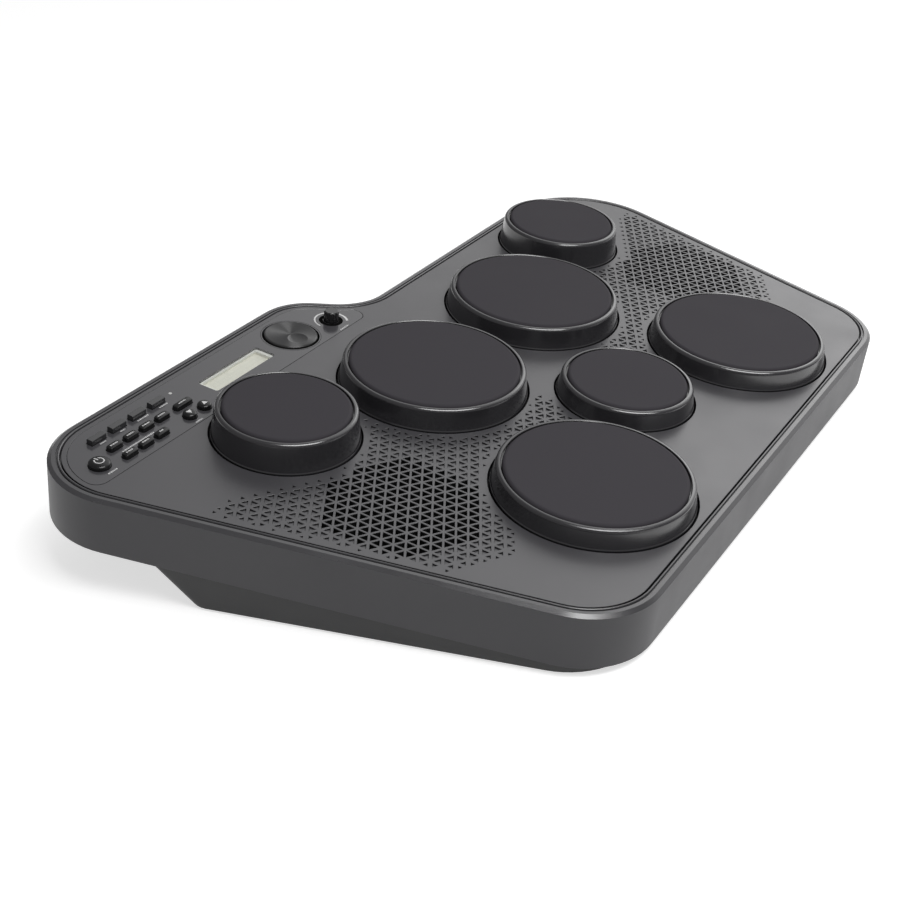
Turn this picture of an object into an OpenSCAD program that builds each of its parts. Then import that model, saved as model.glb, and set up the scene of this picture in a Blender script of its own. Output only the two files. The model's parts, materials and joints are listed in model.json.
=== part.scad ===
// Tabletop electronic drum kit: seven pads and a control strip on a tilted, fan-shaped panel.
// Millimetres, +Z up, +X to the player's right, +Y away from the player, standing on z = 0.
// Most pieces are drawn in the panel's own frame, x right, y up the slope and z off the surface,
// and are tilted at the end.

/* [Panel] */
// Width of the panel along its front edge, between the lines of its two sides
front_w = 437.6; // [430:0.2:450]
// Angle by which each side leans outwards towards the rear
side_lean = 15.7; // [15:0.1:16.5]
// Strip of panel between the right small pad and the rear edge of the right part
rear_margin = 4.1; // [3.5:0.1:8]
// Corner radius of the panel, front corners and rear left
corner_r = 45; // [40:0.5:50]
// Corner radius at the rear right
rear_right_r = 60; // [50:0.5:66]
// Step from the deep left part to the right part: where it begins, from the panel's left end
jog_start = 239.8; // [236:0.2:244]
// Slope of the step
jog_slope = 54.8; // [50:0.1:60]
// Radius of the convex bend
jog_convex_r = 34; // [28:0.5:36]
// Radius of the concave bend
jog_concave_r = 50; // [40:0.5:50]
// Tilt of the panel towards the player
tilt = 5; // [4:0.1:6]
// Thickness of the panel
panel_t = 3; // [2.5:0.1:3.5]
// Height of the panel's front edge above the table
panel_z = 41.5; // [40:0.1:46]

/* [Rim and side band] */
// Reach of the rim beyond the panel's edge line
rim_w = 7.8; // [7:0.1:10]
// Open groove between panel and rim
groove_w = 1; // [0.6:0.05:1.2]
// Raised bead beside the groove
bead_w = 1.5; // [1:0.05:2]
// Height of the bead above the panel
bead_h = 0.35; // [0.1:0.05:0.6]
// Second groove, outside the bead
bead_groove_w = 1; // [0.6:0.05:1.2]
// Depth of the second groove
bead_groove_d = 1; // [0.5:0.1:2]
// Chamfer on the rim's outer edge, across
chamfer_w = 2.4; // [1.8:0.1:3]
// Chamfer on the rim's outer edge, down
chamfer_h = 1.8; // [1:0.1:2.6]
// Height of the band, from the panel's surface to its lower edge
band_h = 36.5; // [34.5:0.5:37]
// Wall of the band at its lower edge
band_t = 2.8; // [2:0.1:3]
// Extra wall above the step that seats the bottom case
band_step = 1; // [0.8:0.1:1.6]
// Ledge under the panel's edge: reach inwards
ledge_w = 1.8; // [1.2:0.1:2]
// Ledge under the panel's edge: thickness
ledge_t = 4; // [3:0.1:6]

/* [Pads] */
// Radius of a large pad's rubber skin
large_skin_r = 57; // [54:0.1:57.6]
// Radius of a small pad's rubber skin
small_skin_r = 40.4; // [38:0.1:41]
// Thickness of the skin
skin_t = 4; // [3:0.1:5]
// Rounding of the skin's edge
skin_edge_r = 2.6; // [1:0.1:2.8]
// Groove between skin and lip
lip_gap = 0.8; // [0.5:0.05:1.2]
// Width of the lip round the skin
lip_w = 3.2; // [2.6:0.1:3.6]
// Rounding of the lip's outer edge
lip_r = 2.4; // [1:0.1:2.5]
// Drop of the lip below the skin's top
lip_drop = 0.8; // [0.3:0.1:1.5]
// Spread of the cup's wall from lip to foot
cup_flare = 2.2; // [1.5:0.1:2.6]
// Bead round the foot of the cup's wall
foot_bead = 0.45; // [0.3:0.05:1]
// Wall of the cup
cup_t = 2.4; // [2:0.1:3]
// Gap between cup and panel
recess_gap = 1.3; // [1:0.1:1.6]
// Height of the front pads above the panel
front_pad_h = 13.5; // [12:0.1:16]
// Height of the centre pad above the panel
centre_pad_h = 13.2; // [12:0.1:16]
// Height of the large rear pads above the panel
rear_pad_h = 15.7; // [13:0.1:18]
// Height of the small rear pads above the panel
side_pad_h = 20.3; // [16:0.1:24]
// Strip of panel between the front pads and the front edge
front_margin = 4; // [3:0.1:8]
// Panel between the two large rear pads
rear_gap = 10; // [8:0.1:16]
// Panel between a small rear pad and its large neighbour
side_gap = 6.9; // [5:0.1:10]
// Panel between the centre pad and a front pad
centre_gap = 8.65; // [6:0.05:12]
// Distance of the centre pad's middle from the front edge
centre_pad_y = 102.4; // [98:0.1:108]
// Panel between the centre pad and a large rear pad
rear_centre_gap = 16.6; // [12:0.1:20]
// Travel of a pad when struck
pad_travel = 0.6; // [0.3:0.05:0.7]

/* [Pad mounting] */
// Wall of the tray under each opening
tray_t = 1.5; // [1.2:0.1:1.6]
// Depth of the tray below the panel
tray_d = 8; // [7.5:0.1:9]
// Depth of the cup's skirt below the panel's surface
skirt_d = 4.2; // [3.6:0.1:5]
// Inward flange at the foot of the cup
flange_w = 12; // [11:0.1:13]
// Diameter of the three guide posts under a cup
post_d = 6; // [5:0.1:6.5]
// Clearance round a guide post
post_clear = 0.3; // [0.25:0.05:0.5]
// Radius of the piezo sensor
sensor_r = 13.5; // [10:0.1:17]

/* [Speaker grilles] */
// Distance of a grille's middle from the line of the panel's side
grille_side = 55.2; // [54:0.1:57]
// Distance of a grille's middle from the front pad's opening
grille_front = 55; // [53:0.1:57]
// Distance of a grille's middle from the small rear pad's opening
grille_back = 52.9; // [51:0.1:55]
// Spacing of the triangular holes
grille_pitch = 8.1; // [7.8:0.1:8.6]
// Bar between two full holes
grille_bar = 1.5; // [1.4:0.1:2.4]
// Half width of the hexagon of full holes
grille_core = 45; // [38:0.5:48]
// Side of the holes where the field meets its edge
grille_dot = 1.9; // [1.4:0.1:2.4]
// Strip without holes along the panel's side
grille_margin = 3.5; // [3:0.1:6]
// Radius of the speaker's frame
speaker_r = 45; // [40:0.5:46]
// Depth of the speaker's frame below the panel
speaker_d = 21; // [18:0.5:21]

/* [Control plate] */
// Depth of the plate, from the panel's rear edge line
plate_d = 50.5; // [49:0.1:51]
// Right end of the plate, from the panel's left end
plate_end = 283; // [280:0.5:286]
// Strip of panel behind and beside the plate
plate_margin = 4; // [3.8:0.1:4.4]
// Open line round the plate
plate_gap = 0.25; // [0.15:0.05:0.4]
// Corner radius of the plate's front corners
plate_r = 8; // [4:0.5:10]
// Width of the flange that holds the plate from below
plate_flange = 1.8; // [1:0.1:1.8]
// Clearance round each key
key_clear = 0.35; // [0.25:0.05:0.5]
// Travel of a key
key_travel = 0.8; // [0.4:0.1:1]
// Height of the oblong keys above the plate
key_h = 2.9; // [2:0.1:3.4]
// Height of the round keys above the plate
round_key_h = 3.4; // [2.4:0.1:4]
// Width of a short key
key_w = 11; // [9:0.1:11.6]
// Depth of an oblong key
key_d = 5.2; // [4.4:0.1:5.6]
// Width of the long key
long_key_w = 15.4; // [13:0.1:16]
// Width of a wedge key in the rear row
wedge_w = 12.4; // [11:0.1:14]
// Depth of a wedge key
wedge_d = 4.6; // [4:0.1:5]
// Height of a wedge key at its rear
wedge_h = 3.6; // [3.4:0.1:4.2]
// Height of a wedge key at its front
wedge_front_h = 3; // [2.4:0.1:3.1]
// Diameter of the power key
power_d = 13.4; // [12:0.1:14]
// Diameter of an arrow key
arrow_d = 9.2; // [8:0.1:10]
// Length of the display window
lcd_w = 62; // [56:0.5:64]
// Depth of the display window
lcd_d = 16; // [14:0.5:17]
// Diameter of the data wheel
wheel_d = 37; // [35:0.2:39]
// Height of the data wheel above the plate
wheel_h = 1.2; // [0.4:0.1:1.8]
// Gap round the data wheel
wheel_gap = 1.3; // [0.8:0.1:1.6]
// Diameter of the volume knob
knob_d = 11; // [10:0.1:13]
// Height of the volume knob
knob_h = 7.5; // [7:0.1:10]

/* [Base] */
// Tilt of the plinth's side walls inwards, as inset at the table
plinth_inset = 2.3; // [1:0.1:4]
// Distance of the plinth's front wall from the panel's front edge line
plinth_front = 1.3; // [0.5:0.1:3]
// Depth of the plinth where it meets the band
plinth_depth = 268; // [260:1:276]
// Slant of the plinth's rear wall, as run along the table
plinth_slant = 24; // [20:0.5:28]
// Wall of the base
base_t = 2.6; // [2.2:0.1:3]
// Height that the rubber feet stand proud
foot_h = 1.5; // [1:0.1:2.5]
// Diameter of a rubber foot
foot_d = 18; // [14:0.5:20]
// Width of the battery door
door_w = 112; // [90:1:130]
// Length of the battery door
door_l = 62; // [50:1:66]

/* [Hidden] */
$fn = 96;

// Small sizes that are shared by several pieces
fit = 0.25;
touch_gap = 0.3;
facet_angle = 6;
body_grey = "#47474b";
band_grey = "#404044";
soft_black = "#232326";
board_green = "#1f4a33";

// Points of the plane
half_w = front_w / 2;
function polar(r, a) = r * [cos(a), sin(a)];
function arc(c, r, a0, a1, steps) = [for (i = [0:steps]) c + polar(r, a0 + (a1 - a0) * i / steps)];
// Distance inwards from the line of the nearer side, and distance along that line
function from_side(p) = (half_w - abs(p.x)) * cos(side_lean) + p.y * sin(side_lean);
function along_side(p) = (abs(p.x) - half_w) * sin(side_lean) + p.y * cos(side_lean);
function at_side(inwards, along) = [
    half_w - inwards * cos(side_lean) + along * sin(side_lean),
    inwards * sin(side_lean) + along * cos(side_lean)
];
// Other short side of a right triangle
function leg(hypotenuse, side) = sqrt(pow(hypotenuse, 2) - pow(side, 2));
// Where two circles meet, on the left of the line from the first centre to the second
function meet(a, ra, b, rb) = let (
    d = norm(b - a),
    u = (b - a) / d,
    near = (ra * ra - rb * rb + d * d) / (2 * d)
) a + near * u + leg(ra, near) * [-u.y, u.x];

// Pads: radii of the cup from skin outwards
function lip_in(skin_r) = skin_r + lip_gap;
function lip_out(skin_r) = lip_in(skin_r) + lip_w;
function foot_r(skin_r) = lip_out(skin_r) + cup_flare;
function recess_r(skin_r) = foot_r(skin_r) + recess_gap;
large_r = recess_r(large_skin_r);
small_r = recess_r(small_skin_r);

// Layout from the front edge rearwards: pads and grilles keep their gaps to each other
front_pad_y = large_r + front_margin;
front_pad = [leg(large_r + small_r + centre_gap, centre_pad_y - front_pad_y), front_pad_y];
rear_pad_x = large_r + rear_gap / 2;
rear_pad = [rear_pad_x, centre_pad_y + leg(large_r + small_r + rear_centre_gap, rear_pad_x)];
grille_at = at_side(
    grille_side,
    along_side(front_pad) + leg(large_r + grille_front, from_side(front_pad) - grille_side)
);
side_pad = meet(rear_pad, large_r + small_r + side_gap, grille_at, small_r + grille_back);
pads_end = max(side_pad.y + small_r, rear_pad.y + large_r);
plate_front = pads_end + recess_gap / 2;
depth_left = plate_front + plate_d;
depth_right = pads_end + rear_margin;

// One row per pad: centre, skin radius and height
PADS = [
    [[-side_pad.x, side_pad.y], small_skin_r, side_pad_h],
    [[-rear_pad.x, rear_pad.y], large_skin_r, rear_pad_h],
    [rear_pad, large_skin_r, rear_pad_h],
    [side_pad, small_skin_r, side_pad_h],
    [[-front_pad.x, front_pad.y], large_skin_r, front_pad_h],
    [[0, centre_pad_y], small_skin_r, centre_pad_h],
    [front_pad, large_skin_r, front_pad_h]
];

// Panel outline: centres of its corner arcs, in the panel's frame with x = 0 on the pads' centre line
front_arc_x = half_w - corner_r * (1 - sin(side_lean)) / cos(side_lean);
front_left = [-front_arc_x, corner_r];
front_right = [front_arc_x, corner_r];
function rear_arc_x(depth, r) = half_w + ((depth - r) * sin(side_lean) - r) / cos(side_lean);
rear_left = [-rear_arc_x(depth_left, corner_r), depth_left - corner_r];
rear_right = [rear_arc_x(depth_right, rear_right_r), depth_right - rear_right_r];
left_end = rear_left.x - corner_r;

// Step between the two depths: both bends turn by the slope, or by less if the step is too low for that
jog_drop = depth_left - depth_right;
jog_radii = jog_convex_r + jog_concave_r;
jog_turn = min(jog_slope, acos(1 - jog_drop / jog_radii));
jog_straight = (jog_drop - jog_radii * (1 - cos(jog_turn))) / sin(jog_turn);
jog_run = jog_radii * sin(jog_turn) + jog_straight * cos(jog_turn);
jog_convex = [left_end + jog_start, depth_left - jog_convex_r];
jog_concave = [jog_convex.x + jog_run, depth_right + jog_concave_r];

// One row per arc, anticlockwise from the front left: centre, radius, first and last angle,
// and 1 for a convex arc or -1 for a concave one
ARCS = [
    [front_left, corner_r, 180 + side_lean, 270, 1],
    [front_right, corner_r, 270, 360 - side_lean, 1],
    [rear_right, rear_right_r, -side_lean, 90, 1],
    [jog_concave, jog_concave_r, 270, 270 - jog_turn, -1],
    [jog_convex, jog_convex_r, 90 - jog_turn, 90, 1],
    [rear_left, corner_r, 90, 180 + side_lean, 1]
];

// Panel outline moved outwards by off
function outline(off) = [
    for (a = ARCS) each arc(a[0], a[1] + a[4] * off, a[2], a[3], ceil(abs(a[3] - a[2]) / facet_angle))
];

// From the panel's frame to the table's, with the origin under the middle of the object's box
box_left = left_end - rim_w;
box_right = rear_right.x + rear_right_r + rim_w;
box_front = chamfer_h * sin(tilt) - rim_w * cos(tilt);
box_rear = (depth_left + rim_w) * cos(tilt) + band_h * sin(tilt);
shift = [-(box_left + box_right) / 2, -(box_front + box_rear) / 2, 0];
module on_table() { translate(shift) children(); }
module on_panel() { on_table() translate([0, 0, panel_z]) rotate([tilt, 0, 0]) children(); }

// Pad mounting
POST_TURNS = [90, 210, 330];
lip_ease = 0.3;
seat_plate_t = 2.4;
sensor_t = 0.6;
skirt_flange_t = 2;
tray_floor_t = 2;
tray_floor = -panel_t - tray_d + tray_floor_t;
post_reach = tray_d + panel_t + 2;
isolator_top = -skirt_d - pad_travel - touch_gap;
function post_ring(skin_r) = foot_r(skin_r) - flange_w + post_d / 2 + 1;

// Controls: places from the panel's left end and from its rear edge line
function control(from_left, from_rear) = [left_end + from_left, depth_left - from_rear];
key_pitch = 14.4;
wedge_pitch = 18.1;
first_key = 41.5;
first_wedge = 40.7;
wedge_row = 16.5;
upper_row = 29.9;
lower_row = 41.9;
power_at = control(21.9, 35.8);
WEDGE_AT = [for (i = [0:3]) control(first_wedge + i * wedge_pitch, wedge_row)];
UPPER_AT = [for (i = [0:3]) control(first_key + i * key_pitch, upper_row)];
LOWER_AT = [for (i = [0:2]) control(first_key + i * key_pitch, lower_row)];
long_at = control(104.5, upper_row);
down_at = control(97.6, lower_row - 0.5);
up_at = control(111.9, lower_row - 0.5);
led_at = control(111.1, 14.5);
lcd_at = control(163.2, 27.5);
wheel_at = control(222.8, 27.6);
knob_at = control(259, 36.1);
BOSS_AT = [
    control(25, 17), control(29, 44), control(124, 15),
    control(198, 11), control(198, 44), control(250, 12)
];
led_r = 1.1;
boss_r = 2.5;
plate_t = panel_t + 1.5;
key_corner_r = key_d / 3;
key_flange = 1;
key_flange_t = 1;
key_bottom = -plate_t - touch_gap - key_flange_t;
switch_top = key_bottom - key_travel - touch_gap;
switch_body_t = 3.4;
switch_stem = 1.6;
switch_stem_r = 1.6;
switch_w = 6;
rotary_w = 12;
board_top = switch_top - switch_stem - switch_body_t;
board_t = 1.6;
shaft_r = 3;
shaft_clear = 0.15;
wheel_bottom = -4;
wheel_shaft = -2.6;
hub_bottom = board_top + 5;
KEY_AT = concat([power_at], WEDGE_AT, UPPER_AT, LOWER_AT, [long_at, down_at, up_at]);

// Case screws: places on the panel, clear of the pads' trays and the speakers
SCREW_AT = [
    [-half_w + 22, 28], [half_w - 22, 28], [-half_w - 31, 215], [half_w + 31, 215],
    control(40, 58.5), control(282, 57.5), rear_right + [21, 43]
];
column_r = 4;
screw_r = 1.5;
screw_head_r = 3.4;
screw_head_t = 1.8;
screw_l = 10;
tunnel_r = 4;
floor_t = 3;
floor_top = floor_t - band_h;
head_seat = floor_top - 1;

// Flat shapes

module rounded(size, r) {
    h = size / 2 - [r, r];
    polygon([
        each arc([h.x, h.y], r, 0, 90, 8), each arc([-h.x, h.y], r, 90, 180, 8),
        each arc([-h.x, -h.y], r, 180, 270, 8), each arc([h.x, -h.y], r, 270, 360, 8)
    ]);
}

// Outline of the control plate, grown by off
module plate_outline(off) {
    reach = depth_left + rim_w;
    low = [left_end + plate_margin - off, plate_front - off];
    high = [left_end + plate_end + off, reach];
    intersection() {
        polygon(outline(off - plate_margin));
        translate((low + high) / 2) rounded(high - low, plate_r);
    }
}

module key_holes(clear) {
    translate(power_at) circle(d = power_d + 2 * clear);
    grow = 2 * [clear, clear];
    for (p = WEDGE_AT) translate(p) square([wedge_w, wedge_d] + grow, center = true);
    for (p = concat(UPPER_AT, LOWER_AT)) translate(p) rounded([key_w, key_d] + grow, key_corner_r + clear);
    translate(long_at) rounded([long_key_w, key_d] + grow, key_corner_r + clear);
    for (p = [down_at, up_at]) translate(p) circle(d = arrow_d + 2 * clear);
}

// Speaker grille: triangular holes on a triangular lattice, in a hexagon that its neighbours cut into

grille_col = grille_pitch * sqrt(3) / 2;
grille_full = grille_pitch - sqrt(3) * grille_bar;
grille_fade = 0.47;
field_rear = 42.5;
field_rear_end = 10;
pad_strip = 2.5;
function hex_dist(d) = max(abs(d.x), (abs(d.x) + abs(d.y) * sqrt(3)) / 2);
// Room between a hole's middle and the edge of the field; d is measured from the grille's middle
function grille_room(p, d) = min(
    from_side(p) - grille_margin,
    d.x < field_rear_end ? field_rear - (d.x + d.y * sqrt(3)) / 2 : field_rear,
    min([for (q = PADS) norm(p - q[0]) - recess_r(q[1]) - pad_strip])
);
function hole_side(p, d) = min(grille_full, grille_dot + grille_fade * grille_room(p, d));

// Left grille; the right one is its mirror image
module grille_holes() {
    columns = ceil(grille_core / grille_col);
    rows = ceil(grille_core * 2 / sqrt(3) / grille_pitch);
    for (i = [-columns:columns], j = [-rows:rows], way = [-1, 1]) {
        d = [i * grille_col + way * grille_col / 3, (j + abs(i % 2) / 2) * grille_pitch];
        p = [-grille_at.x, grille_at.y] + d;
        corner = way * hole_side(p, d) / sqrt(3);
        if (hex_dist(d) <= grille_core && grille_room(p, d) >= 0)
            translate(p) polygon([for (a = [0, 120, 240]) polar(corner, a)]);
    }
}

// Shells

module top_panel() {
    color(body_grey) on_panel() {
        translate([0, 0, -panel_t]) linear_extrude(panel_t) difference() {
            polygon(outline(-groove_w / 2));
            plate_outline(plate_gap);
            for (p = PADS) translate(p[0]) circle(recess_r(p[1]));
            grille_holes();
            mirror([1, 0]) grille_holes();
        }
        for (p = SCREW_AT) translate([p.x, p.y, floor_top]) difference() {
            cylinder(r = column_r, h = -panel_t - floor_top);
            translate([0, 0, -1]) cylinder(r = screw_r + 0.1, h = screw_l + 2);
        }
    }
}

bead_r = bead_w / 2;
bead_steps = 8;
// Section of rim and band: x outwards from the panel's edge line, y up from its surface
band_section = let (
    bead = groove_w / 2,
    groove = bead + bead_w,
    flat = groove + bead_groove_w,
    step = rim_w - band_t
) [
    [bead, -panel_t], each arc([bead + bead_r, bead_h - bead_r], bead_r, 180, 0, bead_steps),
    [groove, -bead_groove_d], [flat, -bead_groove_d], [flat, 0],
    [rim_w - chamfer_w, 0], [rim_w, -chamfer_h], [rim_w, -band_h], [step, -band_h],
    [step, floor_top], [step - band_step, floor_top], [step - band_step, -panel_t - ledge_t],
    [-ledge_w, -panel_t - ledge_t], [-ledge_w, -panel_t]
];

// Socket row in the rear right wall, one row per socket: place along x, radius of the barrel, of its hole
// and of a centre pin; the first is the power inlet, the others are for jacks
socket_n = -19.4;
socket_pitch = 24;
first_socket = jog_concave.x + 18;
jacks = 5;
inlet_r = 5;
inlet_bore_r = 2.75;
inlet_pin_r = 1;
jack_r = 4;
jack_bore_r = 1.8;
socket_block = [12, 12, 10];
socket_bore = 12;
SOCKETS = [
    [first_socket, inlet_r, inlet_bore_r, inlet_pin_r],
    for (k = [1:jacks]) [first_socket + k * socket_pitch, jack_r, jack_bore_r, 0]
];
wall_inside = depth_right + rim_w - band_t - band_step;
barrel_end = depth_right + rim_w - 0.5;

// Rim and band in one sweep: the section goes round the outline, each of its points at its own distance
module band_sweep() {
    rings = [for (v = band_section) [for (q = outline(v.x)) [q.x, q.y, v.y]]];
    across = len(rings);
    along = len(rings[0]);
    polyhedron(
        points = [for (i = [0:along - 1], ring = rings) ring[i]],
        faces = [
            for (i = [0:along - 1], j = [0:across - 1]) let (
                a = i * across,
                b = (i + 1) % along * across,
                k = (j + 1) % across
            ) each [[a + j, b + j, b + k], [a + j, b + k, a + k]]
        ]
    );
}

module side_band() {
    color(band_grey) on_panel() difference() {
        band_sweep();
        for (s = SOCKETS) translate([s[0], barrel_end + 2, socket_n]) rotate([90, 0, 0])
            cylinder(r = s[1] + touch_gap, h = rim_w + 2);
    }
}

plinth_reach = rim_w - 0.8;
plinth_front_r = corner_r + 2;
plinth_left_r = 12;
plinth_right_r = rear_right_r * 2 / 3;
// Plinth's footprint between the two leaning sides: y of front and rear, reach beyond the side lines
function footprint(front, rear, reach) = let (
    corner_x = function (y, r) half_w + (reach - r + y * sin(side_lean)) / cos(side_lean),
    front_y = front + plinth_front_r,
    front_x = corner_x(front_y, plinth_front_r),
    left_y = rear - plinth_left_r,
    right_y = rear - plinth_right_r
) [
    each arc([-front_x, front_y], plinth_front_r, 180 + side_lean, 270, 12),
    each arc([front_x, front_y], plinth_front_r, 270, 360 - side_lean, 12),
    each arc([corner_x(right_y, plinth_right_r), right_y], plinth_right_r, -side_lean, 90, 14),
    each arc([-corner_x(left_y, plinth_left_r), left_y], plinth_left_r, 90, 180 + side_lean, 8)
];

plinth_rear = plinth_depth * cos(tilt) + band_h * sin(tilt);
plinth_toe = band_h * sin(tilt) - plinth_front * cos(tilt) + 0.6;
door_rear = plinth_rear - plinth_slant;
sliver = 0.02;
floor_lap = 0.2;
// Plinth between the band's lower edge and the table, drawn in by inset all round
// and by shoulder more at its top
module plinth(inset, shoulder) {
    top = inset + shoulder;
    hull() {
        translate([0, 0, panel_z]) rotate([tilt, 0, 0]) translate([0, 0, -band_h - sliver])
            linear_extrude(sliver)
            polygon(footprint(top - plinth_front, plinth_depth - top, plinth_reach - top));
        translate([0, 0, foot_h + inset]) linear_extrude(sliver)
            polygon(footprint(inset + plinth_toe, door_rear - inset, plinth_reach - plinth_inset - inset));
    }
}

door_t = 2.2;
bay_t = 1.6;
door_lip = 4;
door_flange_t = 1.6;
FEET_AT = [for (x = [-1, 1], y = [0, 1]) [x * (half_w - 30 + y * 34), y == 0 ? 44 : door_rear - 32]];
foot_seat = 1;
board_end = socket_block.x / 3;
board_front = 34;
board_rear = 14;
board_border = 6;
board_post_r = 3;
BOARD_POSTS = [
    for (x = [first_socket - board_end, first_socket + jacks * socket_pitch + board_end])
        for (y = [board_front, board_rear]) [x, depth_right - y]
];
board_n = socket_n - socket_block.z / 2 - board_t;

module bottom_case() {
    color(soft_black) on_table() difference() {
        union() {
            difference() {
                plinth(0, 0);
                difference() {
                    plinth(base_t, base_t);
                    translate([0, 0, panel_z]) rotate([tilt, 0, 0]) for (p = SCREW_AT)
                        translate([p.x, p.y, -plinth_depth])
                        cylinder(r = tunnel_r + bay_t, h = plinth_depth);
                    bay_walls();
                }
            }
            translate([0, 0, panel_z]) rotate([tilt, 0, 0]) {
                translate([0, 0, -band_h - floor_lap]) linear_extrude(floor_t + floor_lap)
                    polygon(outline(rim_w - band_t - fit));
                for (p = BOARD_POSTS) translate([p.x, p.y, floor_top])
                    cylinder(r = board_post_r, h = board_n - floor_top);
            }
        }
        translate([0, 0, panel_z]) rotate([tilt, 0, 0]) for (p = SCREW_AT) translate([p.x, p.y, 0]) {
            translate([0, 0, head_seat - 1]) cylinder(r = screw_r + 0.2, h = floor_t + 2);
            translate([0, 0, head_seat - 60]) cylinder(r = tunnel_r, h = 60);
        }
        for (p = FEET_AT) translate([p.x, p.y, foot_h - 1])
            cylinder(d = foot_d + 2 * fit, h = foot_seat + 1);
        door_shape(fit, 40);
    }
}

// Walls round the battery bay, between the plinth's floor and the case's floor
module bay_walls() {
    inner = [door_w - 2 * door_lip, door_l - 2 * door_lip, panel_z];
    translate([-inner.x / 2, door_rear - door_l + door_lip, 0]) difference() {
        translate([-bay_t, -bay_t, 0]) cube(inner + [2 * bay_t, 2 * bay_t, 0]);
        translate([0, 0, -1]) cube(inner + [0, 0, 2]);
    }
}

// Battery door and, grown by clear, its channel, which runs out through the plinth's rear wall
module door_shape(clear, beyond) {
    length = door_l + beyond;
    translate([-door_w / 2 - clear, door_rear - door_l - clear, foot_h - clear])
        cube([door_w + 2 * clear, length + 2 * clear, door_t + 2 * clear]);
    translate([-door_w / 2 - door_lip - clear, door_rear - door_l - clear, foot_h + door_t - clear])
        cube([door_w + 2 * door_lip + 2 * clear, length + 2 * clear, door_flange_t + 2 * clear]);
}

module battery_door() {
    color(soft_black) on_table() difference() {
        door_shape(0, -2);
        for (k = [0:4]) translate([-door_w / 6, door_rear - 10 - k * 3.2, foot_h - 0.2])
            cube([door_w / 3, 1.4, 0.9]);
    }
}

module rubber_feet() {
    color("#161616") on_table() for (p = FEET_AT) translate([p.x, p.y, 0]) {
        cylinder(d1 = foot_d - 1.6, d2 = foot_d, h = 0.8);
        translate([0, 0, 0.8]) cylinder(d = foot_d, h = foot_h + foot_seat - 0.8);
    }
}

module case_screws() {
    color("silver") on_panel() for (p = SCREW_AT) translate([p.x, p.y, head_seat]) difference() {
        union() {
            cylinder(r = screw_r, h = screw_l);
            translate([0, 0, -screw_head_t]) cylinder(r = screw_head_r, h = screw_head_t);
        }
        for (a = [0, 90]) rotate(a) translate([-2, -0.4, -screw_head_t - 0.1]) cube([4, 0.8, 1.1]);
    }
}

// Control strip

module control_plate() {
    color("#3b3b40") on_panel() difference() {
        union() {
            translate([0, 0, -panel_t]) linear_extrude(panel_t) plate_outline(0);
            translate([0, 0, -plate_t]) linear_extrude(plate_t - panel_t) difference() {
                plate_outline(plate_flange);
                translate(PADS[0][0]) circle(small_r + tray_t + touch_gap);
            }
            for (p = BOSS_AT) translate([p.x, p.y, board_top])
                cylinder(r = boss_r, h = -plate_t - board_top);
        }
        translate([0, 0, -plate_t - 1]) linear_extrude(plate_t + 2) {
            key_holes(key_clear);
            translate(lcd_at) rounded([lcd_w, lcd_d], 2);
            translate(wheel_at) circle(d = wheel_d + 2 * wheel_gap);
            translate(knob_at) circle(shaft_r + 2 * touch_gap);
            translate(led_at) circle(led_r + 0.1);
        }
    }
}

lcd_lens_t = 1.4;
lcd_face = -3.6;
lcd_frame_w = 5;
lcd_frame_d = 2.4;
module lcd_window() {
    color("#c9d6cf", 0.4) on_panel() translate([lcd_at.x, lcd_at.y, -lcd_lens_t])
        linear_extrude(lcd_lens_t - 0.1) rounded([lcd_w, lcd_d] - [fit, fit], 2);
}

// Display module: a block with a sunk face inside a raised frame
module lcd_panel() {
    outer = [lcd_w, lcd_d] - [fit, fit];
    color("#b7bba4") on_panel() translate([lcd_at.x, lcd_at.y, board_top]) difference() {
        linear_extrude(-lcd_lens_t - board_top) rounded(outer, 2);
        translate([0, 0, lcd_face - board_top]) linear_extrude(plate_t)
            rounded(outer - [lcd_frame_w, lcd_frame_d], 1);
    }
}

module led_lens() {
    color("white") on_panel() translate([led_at.x, led_at.y, 0]) {
        translate([0, 0, -plate_t]) cylinder(r = led_r, h = plate_t + 0.05);
        translate([0, 0, board_top]) cylinder(r = led_r + 0.6, h = -plate_t - board_top);
    }
}

board_left = 12;
board_right = 272;
module control_board() {
    corner = control(board_left, plate_d - 3);
    color(board_green) on_panel() translate([corner.x, corner.y, board_top - board_t])
        linear_extrude(board_t) polygon([
            [14, 0], [board_right - board_left, 0], [board_right - board_left, 24],
            [board_right - board_left - 14, plate_d - 9], [26, plate_d - 9], [0, 14]
        ]);
}

module tact_switches() {
    color("#2b2b2b") on_panel() for (p = KEY_AT) translate([p.x, p.y, board_top]) {
        translate([-switch_w / 2, -switch_w / 2, 0]) cube([switch_w, switch_w, switch_body_t]);
        cylinder(r = switch_stem_r, h = switch_body_t + switch_stem);
    }
}

module rotary_part(at, shaft_top, body_top) {
    color("#8b8d90") on_panel() translate([at.x, at.y, board_top]) {
        translate([-rotary_w / 2, -rotary_w / 2, 0]) cube([rotary_w, rotary_w, body_top - board_top]);
        cylinder(r = shaft_r, h = shaft_top - board_top);
    }
}

module wheel_encoder() {
    rotary_part(wheel_at, wheel_shaft, hub_bottom - touch_gap);
}

module volume_pot() {
    rotary_part(knob_at, knob_h - 2, -plate_t - 1);
}

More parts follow.
